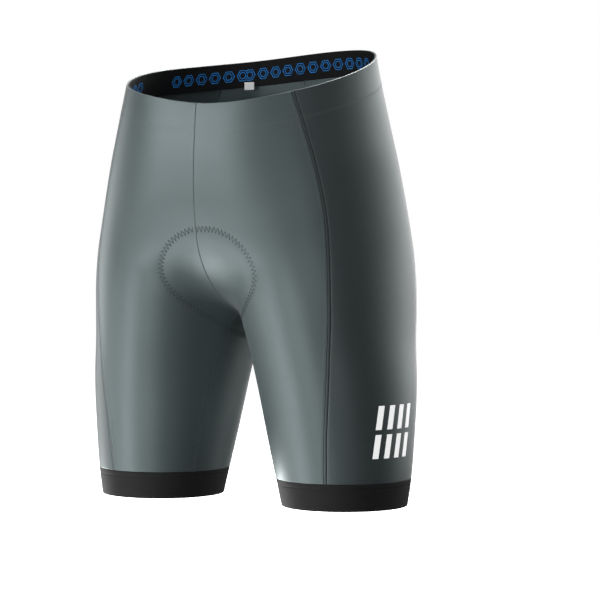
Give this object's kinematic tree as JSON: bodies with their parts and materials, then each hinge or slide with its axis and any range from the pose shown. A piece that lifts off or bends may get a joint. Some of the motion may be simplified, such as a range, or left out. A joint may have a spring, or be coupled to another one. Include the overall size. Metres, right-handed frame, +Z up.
{
  "type": "cycling shorts",
  "caption": "Fitted stretch cycling shorts in worn, hollow form, with a sewn-in seat pad, an inner waist elastic and gripper bands at the hems.",
  "frame": {"origin": "middle of the waist opening at the height of the side seams' tops, where the wearer's waist holds the shorts", "axes": "+Z up along the body, -Y to the front, +X to the wearer's left"},
  "size_m": [0.3618, 0.2291, 0.4645],
  "materials": {
    "shell_cloth": "satin warp knit",
    "leg_grip_elastic": "matte woven elastic",
    "waist_elastic": "matte woven elastic",
    "label_satin": "satin",
    "pad_cloth": "brushed matte"
  },
  "bodies": {
    "root": {"front_panel_left": "shell_cloth", "front_panel_right": "shell_cloth", "side_panel_left": "shell_cloth", "side_panel_right": "shell_cloth", "back_panel_left": "shell_cloth", "back_panel_right": "shell_cloth", "inner_leg_panel_left": "shell_cloth", "inner_leg_panel_right": "shell_cloth", "leg_band_left": "leg_grip_elastic", "leg_band_right": "leg_grip_elastic", "waist_elastic": "waist_elastic", "size_label": "label_satin", "seat_pad": "pad_cloth"}
  },
  "joints": []
}
